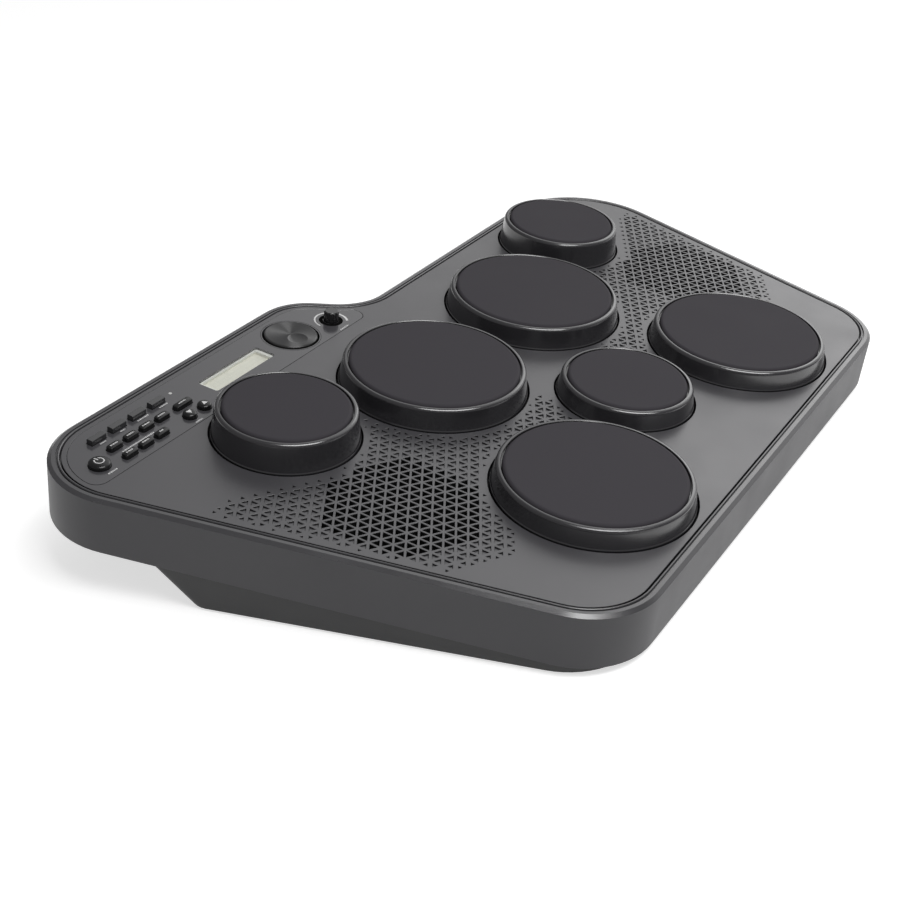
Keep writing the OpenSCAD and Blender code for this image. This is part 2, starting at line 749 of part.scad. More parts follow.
wheel_edge_r = 1.6;
dimple_r = 16;
dimple_d = 1.6;
dimple_at = wheel_d * 0.2;
dimple_turn = -105;
module data_wheel() {
    r = wheel_d / 2;
    color(soft_black) on_panel() translate([wheel_at.x, wheel_at.y, 0]) difference() {
        rotate_extrude() polygon([
            [0, wheel_bottom], [0, wheel_h],
            each arc([r - wheel_edge_r, wheel_h - wheel_edge_r], wheel_edge_r, 90, 0, 5),
            [r, wheel_bottom]
        ]);
        translate([each polar(dimple_at, dimple_turn), wheel_h + dimple_r - dimple_d]) sphere(dimple_r);
        translate([0, 0, wheel_bottom - 1])
            cylinder(r = shaft_r + shaft_clear, h = wheel_shaft + touch_gap - wheel_bottom + 1);
    }
    color(soft_black) on_panel() translate([wheel_at.x, wheel_at.y, hub_bottom]) difference() {
        cylinder(r = shaft_r + 2, h = wheel_bottom - hub_bottom);
        translate([0, 0, -1]) cylinder(r = shaft_r + shaft_clear, h = 10);
    }
}

flutes = 12;
flute_r = 0.9;
flute_depth = 0.75;
module volume_knob() {
    r = knob_d / 2;
    color("#1a1a1c") on_panel() translate([knob_at.x, knob_at.y, 0.4]) difference() {
        rotate_extrude() polygon([[0, 0], [r, 0], [r - 0.3, knob_h - 0.8], [r - 1, knob_h], [0, knob_h]]);
        for (k = [0:flutes - 1]) rotate((k + 0.5) * 360 / flutes)
            translate([r + flute_r - flute_depth, 0, 1.2]) cylinder(r = flute_r, h = knob_h, $fn = 24);
        translate([-0.3, r - 2.2, knob_h - 0.4]) cube([0.6, 3, 1]);
        translate([0, 0, -1]) cylinder(r = shaft_r + shaft_clear, h = knob_h - 0.8);
    }
}

// Round key with a low dome: power and arrows
dome_h = 1.7;
dome_steps = 8;
module round_key(at, d) {
    r = d / 2;
    wall_h = round_key_h - dome_h;
    color(soft_black) on_panel() translate([at.x, at.y, 0]) rotate_extrude() polygon([
        [0, key_bottom], [r + key_flange, key_bottom], [r + key_flange, key_bottom + key_flange_t],
        [r, key_bottom + key_flange_t], [r, wall_h],
        for (i = [1:dome_steps]) let (a = i * 90 / dome_steps) [r * sqrt(cos(a)), wall_h + dome_h * sin(a)]
    ]);
}

// Oblong key with rounded corners and eased upper edges
key_ease = 0.5;
// Narrowing of the key and drop below its top, from its wall upwards
KEY_STEPS = [[0, 2 * key_ease], [key_ease, key_ease / 2], [3 * key_ease, 0]];
module key_base(width, depth) {
    translate([0, 0, key_bottom]) linear_extrude(key_flange_t)
        square([width, depth] + 2 * [key_flange, key_flange], center = true);
}

module pill_key(at, width) {
    color(soft_black) on_panel() translate([at.x, at.y, 0]) {
        key_base(width, key_d);
        translate([0, 0, key_bottom + key_flange_t]) linear_extrude(-key_bottom - key_flange_t)
            rounded([width, key_d], key_corner_r);
        hull() for (step = KEY_STEPS) linear_extrude(key_h - step[1])
            rounded([width - step[0], key_d - step[0]], key_corner_r - step[0] / 3);
    }
}

// Wedge key: its top rises towards the rear
module wedge_key(i) {
    at = WEDGE_AT[i];
    half_d = wedge_d / 2;
    color(soft_black) on_panel() translate([at.x, at.y, 0]) {
        key_base(wedge_w, wedge_d);
        translate([-wedge_w / 2, 0, 0]) rotate([90, 0, 90]) linear_extrude(wedge_w) polygon([
            [-half_d, key_bottom + key_flange_t], [half_d, key_bottom + key_flange_t],
            [half_d, wedge_h - key_ease], [half_d - key_ease, wedge_h],
            [key_ease - half_d, wedge_front_h + key_ease], [-half_d, wedge_front_h]
        ]);
    }
}

// Pads

module pad_cup(k) {
    p = PADS[k - 1];
    h = p[2];
    r = p[1];
    top = h - lip_drop;
    seat = h - skin_t;
    inner = foot_r(r) - cup_t;
    ring = post_ring(r);
    color(soft_black) on_panel() translate([p[0].x, p[0].y, 0]) {
        rotate_extrude() polygon([
            [0, seat - seat_plate_t], [0, seat], [lip_in(r), seat],
            [lip_in(r), top - lip_ease], [lip_in(r) + lip_ease, top],
            each arc([lip_out(r) - lip_r, top - lip_r], lip_r, 90, 0, 6),
            [foot_r(r) - foot_bead, 2 * foot_bead], [foot_r(r), foot_bead / 2], [foot_r(r), -skirt_d],
            [foot_r(r) - flange_w, -skirt_d], [foot_r(r) - flange_w, skirt_flange_t - skirt_d],
            [inner, skirt_flange_t - skirt_d], [inner, 0], [lip_out(r) - cup_t, seat - seat_plate_t]
        ]);
        for (a = POST_TURNS) rotate(a) translate([ring, 0, -post_reach])
            cylinder(d = post_d, h = post_reach - skirt_d);
    }
}

module pad_skin(k) {
    p = PADS[k - 1];
    h = p[2];
    r = p[1];
    color("#1d1c1f") on_panel() translate([p[0].x, p[0].y, 0]) rotate_extrude() polygon([
        [0, h - skin_t], [r, h - skin_t],
        each arc([r - skin_edge_r, h - skin_edge_r], skin_edge_r, 0, 90, 8), [0, h]
    ]);
}

module pad_sensor(k) {
    p = PADS[k - 1];
    color("goldenrod") on_panel() translate([p[0].x, p[0].y, p[2] - skin_t - seat_plate_t - sensor_t])
        cylinder(r = sensor_r, h = sensor_t);
}

module pad_trays() {
    color("#303034") on_panel() for (p = PADS) translate([p[0].x, p[0].y, 0]) difference() {
        rotate_extrude() let (r = recess_r(p[1]), floor_in = post_ring(p[1]) - post_d) polygon([
            [r, -panel_t], [r + tray_t, -panel_t], [r + tray_t, tray_floor - tray_floor_t],
            [floor_in, tray_floor - tray_floor_t], [floor_in, tray_floor], [r, tray_floor]
        ]);
        for (a = POST_TURNS) rotate(a) translate([post_ring(p[1]), 0, tray_floor - tray_floor_t - 1])
            cylinder(d = post_d + 2 * post_clear, h = tray_floor_t + 2);
    }
}

module pad_isolators() {
    color("#4a4440") on_panel() for (p = PADS) translate([p[0].x, p[0].y, tray_floor]) difference() {
        cylinder(r = foot_r(p[1]) - 0.3, h = isolator_top - tray_floor);
        translate([0, 0, -1]) cylinder(r = post_ring(p[1]) + post_d / 2 + 1, h = 20);
    }
}

// Speakers: one under each grille

module at_speakers() {
    on_panel() for (side = [-1, 1]) translate([side * grille_at.x, grille_at.y, -panel_t]) children();
}

cone_r = speaker_r - 9;
magnet_r = 22;
magnet_t = 8;
basket_floor = 2;
module speaker_frames() {
    color("#55585c") at_speakers() rotate_extrude() polygon([
        [cone_r, 0], [speaker_r, 0], [speaker_r, -2], [speaker_r - 4, -3.5], [magnet_r - 1, -speaker_d],
        [8, -speaker_d], [8, basket_floor - speaker_d], [magnet_r - 2, basket_floor - speaker_d],
        [cone_r - 3, -3.5], [cone_r - 3, -2], [cone_r, -2]
    ]);
}

module speaker_cones() {
    color("#1b1b1b") at_speakers() rotate_extrude() polygon([
        [cone_r - fit, -2], [cone_r - fit, -1.2], [cone_r - 3, -1.2], [10, -12],
        [0, -8.5], [0, -9.6], [10, -13.4], [cone_r - 3.2, -2]
    ]);
}

module speaker_magnets() {
    color("#3a3a3c") at_speakers() translate([0, 0, -speaker_d - magnet_t])
        cylinder(r = magnet_r, h = magnet_t);
}

// Electronics at the rear

module main_board() {
    a = BOARD_POSTS[0] - [board_border, board_border];
    b = BOARD_POSTS[3] + [board_border, 2 * board_border];
    color(board_green) on_panel() translate([a.x, a.y, board_n]) cube([b.x - a.x, b.y - a.y, board_t]);
}

module rear_sockets() {
    color("#151515") on_panel() for (s = SOCKETS) translate([s[0], 0, socket_n]) difference() {
        union() {
            translate([-socket_block.x / 2, wall_inside - socket_block.y - 2, -socket_block.z / 2])
                cube(socket_block);
            translate([0, barrel_end, 0]) rotate([90, 0, 0])
                cylinder(r = s[1], h = barrel_end - wall_inside + 4);
        }
        translate([0, barrel_end + 1, 0]) rotate([90, 0, 0]) difference() {
            cylinder(r = s[2], h = socket_bore);
            if (s[3] > 0) cylinder(r = s[3], h = socket_bore);
        }
    }
}

top_panel();
side_band();
bottom_case();
control_plate();
lcd_window();
lcd_panel();
led_lens();
control_board();
tact_switches();
wheel_encoder();
volume_pot();
data_wheel();
volume_knob();
round_key(power_at, power_d);  // power_key
wedge_key(0);  // wedge_key_1
wedge_key(1);  // wedge_key_2
wedge_key(2);  // wedge_key_3
wedge_key(3);  // wedge_key_4
pill_key(UPPER_AT[0], key_w);  // upper_key_1
pill_key(UPPER_AT[1], key_w);  // upper_key_2
pill_key(UPPER_AT[2], key_w);  // upper_key_3
pill_key(UPPER_AT[3], key_w);  // upper_key_4
pill_key(LOWER_AT[0], key_w);  // lower_key_1
pill_key(LOWER_AT[1], key_w);  // lower_key_2
pill_key(LOWER_AT[2], key_w);  // lower_key_3
pill_key(long_at, long_key_w);  // long_key
round_key(down_at, arrow_d);  // down_key
round_key(up_at, arrow_d);  // up_key
pad_cup(1);  // pad_cup_1
pad_cup(2);  // pad_cup_2
pad_cup(3);  // pad_cup_3
pad_cup(4);  // pad_cup_4
pad_cup(5);  // pad_cup_5
pad_cup(6);  // pad_cup_6
pad_cup(7);  // pad_cup_7
pad_skin(1);  // pad_skin_1
pad_skin(2);  // pad_skin_2
pad_skin(3);  // pad_skin_3
pad_skin(4);  // pad_skin_4
pad_skin(5);  // pad_skin_5
pad_skin(6);  // pad_skin_6
pad_skin(7);  // pad_skin_7
pad_sensor(1);  // pad_sensor_1
pad_sensor(2);  // pad_sensor_2
pad_sensor(3);  // pad_sensor_3
pad_sensor(4);  // pad_sensor_4
pad_sensor(5);  // pad_sensor_5
pad_sensor(6);  // pad_sensor_6
pad_sensor(7);  // pad_sensor_7
pad_trays();
pad_isolators();
speaker_frames();
speaker_cones();
speaker_magnets();
main_board();
rear_sockets();
battery_door();
rubber_feet();
case_screws();
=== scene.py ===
import json
import math

import bmesh
import bpy
from mathutils import Matrix, Vector
from mathutils.bvhtree import BVHTree
from mathutils.geometry import delaunay_2d_cdt


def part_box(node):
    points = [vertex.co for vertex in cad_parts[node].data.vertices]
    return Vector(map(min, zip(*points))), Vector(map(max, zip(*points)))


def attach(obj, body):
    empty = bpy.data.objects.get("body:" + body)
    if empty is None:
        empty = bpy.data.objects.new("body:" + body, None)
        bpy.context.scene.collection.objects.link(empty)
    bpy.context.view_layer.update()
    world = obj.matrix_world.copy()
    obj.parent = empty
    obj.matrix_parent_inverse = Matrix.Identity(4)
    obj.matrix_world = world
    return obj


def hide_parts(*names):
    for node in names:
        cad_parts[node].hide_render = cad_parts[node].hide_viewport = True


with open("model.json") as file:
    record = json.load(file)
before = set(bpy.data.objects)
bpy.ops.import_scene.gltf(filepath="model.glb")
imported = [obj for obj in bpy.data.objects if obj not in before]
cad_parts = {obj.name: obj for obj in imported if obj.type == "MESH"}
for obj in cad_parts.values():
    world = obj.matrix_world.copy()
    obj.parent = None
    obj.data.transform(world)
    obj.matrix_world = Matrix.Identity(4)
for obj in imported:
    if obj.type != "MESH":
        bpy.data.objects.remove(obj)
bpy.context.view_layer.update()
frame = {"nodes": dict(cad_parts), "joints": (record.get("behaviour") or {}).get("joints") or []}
NODES = frame["nodes"]
MM = 0.001

# Panel frame: x to the player's right from the pads' centre line, w up the slope, n off the surface, in mm

CENTRE_PAD_W = 102.4
JOINTS = {joint["name"]: joint for joint in frame["joints"]}
SURFACE = Vector(JOINTS["data_wheel_turn"]["pos_m"])
NORMAL = Vector(JOINTS["data_wheel_turn"]["axis"]).normalized()
RIGHT = Vector((1, 0, 0))
UPHILL = NORMAL.cross(RIGHT)


def middle(node):
    low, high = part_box(node)
    return (low + high) / 2


PAD_MIDDLE = middle("pad_sensor_6")
ORIGIN = SURFACE + RIGHT * (PAD_MIDDLE - SURFACE).dot(RIGHT)
ORIGIN += UPHILL * ((PAD_MIDDLE - SURFACE).dot(UPHILL) - CENTRE_PAD_W * MM)
PANEL = Matrix((RIGHT, UPHILL, NORMAL)).transposed().to_4x4()
PANEL.translation = ORIGIN
TO_PANEL = PANEL.inverted()


def place(x, w, n=0.0):
    """A point of the panel's frame, in metres in the row frame."""
    return PANEL @ (Vector((x, w, n)) * MM)


def in_panel(point):
    """A point of the row frame as x, w and n in millimetres."""
    return (TO_PANEL @ point) / MM


# Shader nodes


def add(tree, kind, **settings):
    node = tree.nodes.new(kind)
    for name, value in settings.items():
        setattr(node, name, value)
    return node


def feed(tree, output, socket):
    tree.links.new(output, socket)


def set_inputs(node, **values):
    for name, value in values.items():
        node.inputs[name.replace("_", " ")].default_value = value


def material_named(name):
    """The frame's material of that name, or a new one, with nothing but a plain shader in it."""
    material = bpy.data.materials.get(name) or bpy.data.materials.new(name)
    material.use_nodes = True
    tree = material.node_tree
    tree.nodes.clear()
    shader = add(tree, "ShaderNodeBsdfPrincipled")
    output = add(tree, "ShaderNodeOutputMaterial")
    feed(tree, shader.outputs["BSDF"], output.inputs["Surface"])
    return material, shader


def node_of_type(tree, kind):
    return next(node for node in tree.nodes if node.type == kind)


def colours_of(sockets):
    return [socket for socket in sockets if socket.type == "RGBA"]


def noise(tree, size_mm, detail=2.0):
    """Noise fixed to the object, with features of about that size."""
    coordinates = add(tree, "ShaderNodeTexCoord")
    texture = add(tree, "ShaderNodeTexNoise")
    set_inputs(texture, Scale=1 / (size_mm * MM), Detail=detail)
    feed(tree, coordinates.outputs["Object"], texture.inputs["Vector"])
    return texture.outputs["Fac"]


NOISE_RANGE = (0.3, 0.7)


def remap(tree, value, to, came_from=NOISE_RANGE):
    """A value taken from one range to another and held there; the first is noise's own unless it is given."""
    node = add(tree, "ShaderNodeMapRange")
    set_inputs(node, From_Min=came_from[0], From_Max=came_from[1], To_Min=to[0], To_Max=to[1])
    feed(tree, value, node.inputs["Value"])
    return node.outputs["Result"]


def two_tones(tree, value, first, second):
    node = add(tree, "ShaderNodeMix", data_type="RGBA")
    colours = colours_of(node.inputs)
    colours[0].default_value = (*first, 1)
    colours[1].default_value = (*second, 1)
    feed(tree, value, node.inputs[0])
    return colours_of(node.outputs)[0]


def bump(tree, height, depth_mm):
    node = add(tree, "ShaderNodeBump")
    set_inputs(node, Strength=1.0, Distance=depth_mm * MM)
    feed(tree, height, node.inputs["Height"])
    return node.outputs["Normal"]


# Materials

WHOLE = (0, 1)
BLACK = (0, 0, 0)
# Painted shade in grooves: ambient occlusion darkens the colour and dulls the shine where the surface is shut
# in
GROOVE_OPEN = (0.35, 0.75)
GROOVE_LIT_SHARE = (0.05, 1)
GROOVE_SAMPLES = 8


def painted_groove_shade(tree, shader, tone, shine, reach_mm):
    """The tone, dark and dull where other surfaces shut it in within that reach: painted shade in the
    grooves, taken from ambient occlusion.
    """
    openness = add(tree, "ShaderNodeAmbientOcclusion", samples=GROOVE_SAMPLES)
    set_inputs(openness, Distance=reach_mm * MM)
    lit_share = remap(tree, openness.outputs["AO"], GROOVE_LIT_SHARE, GROOVE_OPEN)
    feed(tree, remap(tree, lit_share, (0, shine), WHOLE), shader.inputs["Specular IOR Level"])
    shaded_tone = two_tones(tree, lit_share, BLACK, BLACK)
    feed(tree, tone, colours_of(shaded_tone.node.inputs)[1])
    return shaded_tone


CLOUD_MM = 45
CLOUD_DETAIL = 4.0


def scaled(colour, factor):
    return [channel * factor for channel in colour]


def moulded(name, colour, roughness, grain_mm=0.4, grain_depth=0.012, cloud=0.06, uneven=0.04, metal=0.0,
            shine=0.5, groove_shade_mm=0.0):
    """Moulded surface: fine grain, faint clouds of tone and a gloss that is not quite even; given a groove
    reach, painted shade in its grooves.
    """
    material, shader = material_named(name)
    tree = material.node_tree
    set_inputs(shader, Metallic=metal, Specular_IOR_Level=shine)
    clouds = noise(tree, CLOUD_MM, CLOUD_DETAIL)
    tone = two_tones(tree, clouds, scaled(colour, 1 - cloud), scaled(colour, 1 + cloud))
    if groove_shade_mm:
        tone = painted_groove_shade(tree, shader, tone, shine, groove_shade_mm)
    feed(tree, tone, shader.inputs["Base Color"])
    gloss = remap(tree, clouds, (roughness - uneven, roughness + uneven))
    feed(tree, gloss, shader.inputs["Roughness"])
    feed(tree, bump(tree, noise(tree, grain_mm), grain_depth), shader.inputs["Normal"])
    return material


GREY = (1.0, 0.98, 1.07)
# The panel and the rim carry painted shade in their grooves, from ambient occlusion
panel_plastic = moulded("panel_plastic", scaled(GREY, 0.054), 0.36, shine=1.0, groove_shade_mm=1.2)
moulded("band_plastic", scaled(GREY, 0.054), 0.48, shine=0.5)
rim_plastic = moulded("rim_plastic", scaled(GREY, 0.048), 0.24, shine=1.0, groove_shade_mm=0.8)
moulded("base_plastic", (0.018, 0.018, 0.019), 0.5, grain_mm=0.8, grain_depth=0.03)
moulded("plate_plastic", scaled(GREY, 0.058), 0.18, grain_depth=0.004, shine=0.8)
moulded("key_plastic", (0.010, 0.010, 0.0105), 0.22, shine=0.4)
wedge_plastic = moulded("wedge_plastic", (0.026, 0.026, 0.028), 0.2, shine=1.0)
moulded("cup_plastic", (0.028, 0.027, 0.030), 0.2, grain_depth=0.006, shine=1.0)
knob_plastic = moulded("knob_plastic", (0.014, 0.014, 0.015), 0.2, shine=0.9)
moulded("pad_rubber", (0.044, 0.041, 0.047), 0.70, grain_mm=0.9, grain_depth=0.05, cloud=0.1, shine=0.12)
moulded("foot_rubber", (0.012, 0.012, 0.012), 0.8, grain_mm=0.6, grain_depth=0.04)
moulded("led_plastic", (0.55, 0.55, 0.54), 0.4)
moulded("board", (0.012, 0.07, 0.035), 0.45, grain_mm=2.5, grain_depth=0.04, cloud=0.25)
# Black plastic; on the walls of the panel's holes it also serves as painted shade
black_plastic_and_hole_shade = moulded("part_black", (0.010, 0.010, 0.010), 0.55, shine=0.2)
moulded("bright_metal", (0.62, 0.62, 0.64), 0.28, metal=1.0, cloud=0.1)
moulded("brass", (0.60, 0.42, 0.16), 0.32, metal=1.0, cloud=0.1)
moulded("speaker_steel", (0.010, 0.010, 0.010), 0.6, cloud=0.12, shine=0.2)
moulded("speaker_paper", (0.007, 0.007, 0.007), 0.9, grain_mm=1.2, grain_depth=0.08, cloud=0.2, shine=0.05)
moulded("magnet_ferrite", (0.035, 0.035, 0.038), 0.6, grain_mm=0.7, grain_depth=0.03, cloud=0.2)
INK = {"grain_mm": 0.15, "grain_depth": 0.004}
print_white = moulded("print_white", (0.62, 0.62, 0.62), 0.5, **INK)
print_black = moulded("print_black", (0.006, 0.006, 0.006), 0.4, shine=0.0, **INK)

RING_PITCH_MM = 1.5
RING_DEPTH_MM = 0.004
RING_TONES = ((0.018, 0.018, 0.019), (0.023, 0.023, 0.024))


def spun_wheel():
    """Turned disc: rings too fine to see, which draw the light out into a fan about the centre."""
    material, shader = material_named("wheel_plastic")
    tree = material.node_tree
    set_inputs(shader, Anisotropic=0.95, Roughness=0.45, Anisotropic_Rotation=0.25, Specular_IOR_Level=1.0)
    tangent = add(tree, "ShaderNodeTangent", direction_type="RADIAL", axis="Z")
    feed(tree, tangent.outputs["Tangent"], shader.inputs["Tangent"])
    coordinates = add(tree, "ShaderNodeTexCoord")
    from_centre = add(tree, "ShaderNodeVectorMath", operation="DISTANCE")
    from_centre.inputs[1].default_value = SURFACE
    feed(tree, coordinates.outputs["Object"], from_centre.inputs[0])
    rings = add(tree, "ShaderNodeTexWave", wave_type="BANDS", bands_direction="X")
    set_inputs(rings, Scale=1 / (RING_PITCH_MM * MM))
    spread = add(tree, "ShaderNodeCombineXYZ")
    feed(tree, from_centre.outputs["Value"], spread.inputs["X"])
    feed(tree, spread.outputs["Vector"], rings.inputs["Vector"])
    feed(tree, two_tones(tree, rings.outputs["Fac"], *RING_TONES), shader.inputs["Base Color"])
    feed(tree, bump(tree, rings.outputs["Fac"], RING_DEPTH_MM), shader.inputs["Normal"])


HAZE_MM = 20
HAZE = (0.02, 0.06)
TINT_MM = 30
TINTS = ((0.95, 0.96, 0.95), (0.98, 0.98, 0.97))
MIRRORED = (0.01, 0.10)


def clear_window():
    """Thin clear pane: light goes straight through, and a share that grows with the slant is mirrored."""
    material, mirror = material_named("clear_window")
    tree = material.node_tree
    set_inputs(mirror, Metallic=1.0, Base_Color=(1, 1, 1, 1))
    feed(tree, remap(tree, noise(tree, HAZE_MM), HAZE), mirror.inputs["Roughness"])
    through = add(tree, "ShaderNodeBsdfTransparent")
    feed(tree, two_tones(tree, noise(tree, TINT_MM), *TINTS), through.inputs["Color"])
    slant = add(tree, "ShaderNodeLayerWeight")
    pane = add(tree, "ShaderNodeMixShader")
    feed(tree, remap(tree, slant.outputs["Facing"], MIRRORED, WHOLE), pane.inputs[0])
    feed(tree, through.outputs["BSDF"], pane.inputs[1])
    feed(tree, mirror.outputs["BSDF"], pane.inputs[2])
    output = node_of_type(tree, "OUTPUT_MATERIAL")
    feed(tree, pane.outputs["Shader"], output.inputs["Surface"])


DISPLAY_STEP = -2.5
DISPLAY_FRAME = (0.78, 0.78, 0.76)
CELL_MM = 6
CELL = (0.72, 0.71, 0.64)
NEXT_CELL = (0.71, 0.70, 0.63)
CELL_SEAM = (0.67, 0.66, 0.60)


def display():
    """Display module: face with a faint grid of cells, and a paler frame that stands above it."""
    material, shader = material_named("display")
    tree = material.node_tree
    coordinates = add(tree, "ShaderNodeTexCoord")
    height = add(tree, "ShaderNodeVectorMath", operation="DOT_PRODUCT")
    height.inputs[1].default_value = NORMAL
    feed(tree, coordinates.outputs["Object"], height.inputs[0])
    raised = add(tree, "ShaderNodeMath", operation="GREATER_THAN")
    raised.inputs[1].default_value = place(0, 0, DISPLAY_STEP).dot(NORMAL)
    feed(tree, height.outputs["Value"], raised.inputs[0])
    cells = add(tree, "ShaderNodeTexBrick", offset=0.0)
    set_inputs(cells, Scale=1 / (CELL_MM * MM), Mortar_Size=0.03, Brick_Width=0.5, Row_Height=0.5)
    set_inputs(cells, Color1=(*CELL, 1), Color2=(*NEXT_CELL, 1), Mortar=(*CELL_SEAM, 1))
    feed(tree, coordinates.outputs["Object"], cells.inputs["Vector"])
    face = two_tones(tree, raised.outputs["Value"], CELL, DISPLAY_FRAME)
    feed(tree, cells.outputs["Color"], colours_of(face.node.inputs)[0])
    feed(tree, face, shader.inputs["Base Color"])
    set_inputs(shader, Roughness=0.5)


spun_wheel()
clear_window()
display()

# CAD pieces whose round stretches are flat facets: welded, merged flat, eased at the edges and shaded smooth

WELD_MM = 0.004
FLAT_ANGLE = math.radians(0.5)
SHARP_ANGLE = math.radians(28)
CASE_EASE = 0.3
KEY_EASE = 0.2


def smooth_facets(node, ease_mm):
    piece = NODES[node]
    normals = piece.data.attributes.get("custom_normal")
    if normals:
        piece.data.attributes.remove(normals)
    for polygon in piece.data.polygons:
        polygon.use_smooth = True
    piece.modifiers.new("weld", "WELD").merge_threshold = WELD_MM * MM
    flat = piece.modifiers.new("flat", "DECIMATE")
    flat.decimate_type = "DISSOLVE"
    flat.angle_limit = FLAT_ANGLE
    ease = piece.modifiers.new("ease", "BEVEL")
    ease.width = ease_mm * MM
    ease.segments = 2
    ease.limit_method = "ANGLE"
    ease.angle_limit = SHARP_ANGLE
    ease.harden_normals = True


KEYS = [name.removesuffix("_press") for name in JOINTS if name.endswith("_press")]
smooth_facets("side_band", CASE_EASE)
smooth_facets("bottom_case", CASE_EASE)
for key in KEYS:
    smooth_facets(key, KEY_EASE)

# Finishes that differ from the frame's own

RIM_LEAN = (0.25, 1.1)
WHEEL_EDGE_LEAN = (-0.7, 0.7)


def finish_faces(node, material, low, high):
    """A second finish on the faces whose lean, 1 where level with the panel, lies between two values."""
    mesh = NODES[node].data
    mesh.materials.append(material)
    for polygon in mesh.polygons:
        if low < polygon.normal.dot(NORMAL) < high:
            polygon.material_index = len(mesh.materials) - 1


NODES["volume_knob"].data.materials[0] = knob_plastic
for key in KEYS:
    if key.startswith("wedge_key"):
        NODES[key].data.materials[0] = wedge_plastic
finish_faces("side_band", rim_plastic, *RIM_LEAN)
finish_faces("data_wheel", black_plastic_and_hole_shade, *WHEEL_EDGE_LEAN)

# The pane rests on the display's frame: a hair of room keeps the two faces apart

PANE_ROOM = 0.05
pane_room = NODES["lcd_window"].modifiers.new("room", "DISPLACE")
pane_room.strength = -PANE_ROOM * MM
pane_room.mid_level = 0

# Perforated panel: the CAD panel's own edges, with the small holes that thin out round each speaker field

PANEL_T = 3.0
LEVEL_MM = 0.01
HOLE_EASE = 0.2
DIMPLE = 0.9
SPEAKER = Vector((203.6, 149.9))
PITCH = 8.1
COLUMN = PITCH * math.sqrt(3) / 2
CORE_REACH = 45
FADED_SIDE = 4.5
DOT_SIDE = 1.9
FADE = 0.47


def new_piece(name, mesh, body):
    """A mesh drawn in the panel's frame, in millimetres, as a piece that rides on a body."""
    mesh.transform(PANEL @ Matrix.Scale(MM, 4))
    piece = bpy.data.objects.new(name, mesh)
    bpy.context.scene.collection.objects.link(piece)
    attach(piece, body)
    return piece


def upper_loops(node):
    """Edge loops of a node's face at the panel's surface, each with the material on its left."""
    mesh = NODES[node].data
    points = [in_panel(vertex.co) for vertex in mesh.vertices]
    edges = set()
    for polygon in mesh.polygons:
        corners = list(polygon.vertices)
        if all(abs(points[i].z) < LEVEL_MM for i in corners):
            for pair in zip(corners, corners[1:] + corners[:1]):
                if pair[::-1] in edges:
                    edges.remove(pair[::-1])
                else:
                    edges.add(pair)
    following = dict(edges)
    loops = []
    while following:
        start, at = following.popitem()
        loop = [start]
        while at != start:
            loop.append(at)
            at = following.pop(at)
        loops.append([points[i].xy for i in loop])
    return loops


def centre_and_radius(node):
    """A round node's middle on the panel and its radius, in millimetres."""
    points = [in_panel(vertex.co).xy for vertex in NODES[node].data.vertices]
    centre = in_panel(middle(node)).xy
    return centre, max((p - centre).length for p in points)


PAD_COUNT = 7
PAD_SEAM = 1.3
PAD_STRIP = 2.5
EDGE_STRIP = 3.5
CUPS = [centre_and_radius(f"pad_cup_{k}") for k in range(1, PAD_COUNT + 1)]


def room_inside(loop, p):
    """Distance from a point to a loop, negative outside it."""
    nearest = math.inf
    for a, b in zip(loop, loop[1:] + loop[:1]):
        along = b - a
        t = min(1, max(0, (p - a).dot(along) / along.length_squared))
        gap = (a + along * t - p).length
        if gap < abs(nearest):
            nearest = math.copysign(gap, along.cross(p - a))
    return nearest


# A field's reach from the speaker's middle: x runs inwards, and the outer part ends on a slant at the rear

FIELD = 170
FRONT_REACH = 65
INNER_REACH = 166
INNER_REAR = 78
OUTER_REAR = 81.5
OUTER_SLANT = 42.5
OUTER_END = 10


def field_room(d):
    """Distance from a hole's middle to the nearest end of the field; d runs from the speaker's middle."""
    front = FRONT_REACH
    if d.y < 0:
        front -= (abs(d.y) * math.sqrt(3) + min(abs(d.x), CORE_REACH)) / 2
    rear = INNER_REAR - d.y
    if d.x < OUTER_END:
        rear = min(OUTER_SLANT - (d.x + d.y * math.sqrt(3)) / 2, OUTER_REAR - d.y)
    return min(INNER_REACH - d.x, front, rear)


def field_spots():
    """Middles of the field's triangles, from the speaker's middle, and the way in which each one points."""
    reach = range(-math.ceil(FIELD / COLUMN), math.ceil(FIELD / COLUMN) + 1)
    for i in reach:
        for j in reach:
            for way in (-1, 1):
                yield Vector((i * COLUMN + way * COLUMN / 3, (j + i % 2 / 2) * PITCH)), way


def fading_holes(edge):
    """Holes outside the CAD's hexagon of full ones; they shrink towards the edge of the field."""
    loops = []
    for d, way in field_spots():
        hexagon = max(abs(d.x), (abs(d.x) + abs(d.y) * math.sqrt(3)) / 2)
        if hexagon <= CORE_REACH or field_room(d) < 0:
            continue
        for side in (-1, 1):
            p = Vector((side * (SPEAKER.x - d.x), SPEAKER.y + d.y))
            loops += faded_hole(p, -way * side, field_room(d), edge)
    return loops


def faded_hole(p, way, room, edge):
    """One hole as a list of one loop, or an empty list where a pad or the panel's edge is too near."""
    room = min(room, room_inside(edge, p) - EDGE_STRIP)
    for centre, radius in CUPS:
        room = min(room, (p - centre).length - radius - PAD_SEAM - PAD_STRIP)
    if room < 0:
        return []
    radius = min(FADED_SIDE, DOT_SIDE + FADE * room) / math.sqrt(3)
    angles = [math.radians(-120 * k) for k in range(3)]
    return [[p + way * radius * Vector((math.cos(a), math.sin(a))) for a in angles]]


def moved_in(loop, distance):
    """A loop moved to its left, into the material."""
    moved = []
    for before, at, after in zip(loop[-1:] + loop[:-1], loop, loop[1:] + loop[:1]):
        first = (at - before).normalized().orthogonal()
        second = (after - at).normalized().orthogonal()
        moved.append(at + (first + second) * distance / (1 + first.dot(second)))
    return moved


INSIDE_ONLY = 1
SAME_POINT = 1e-5


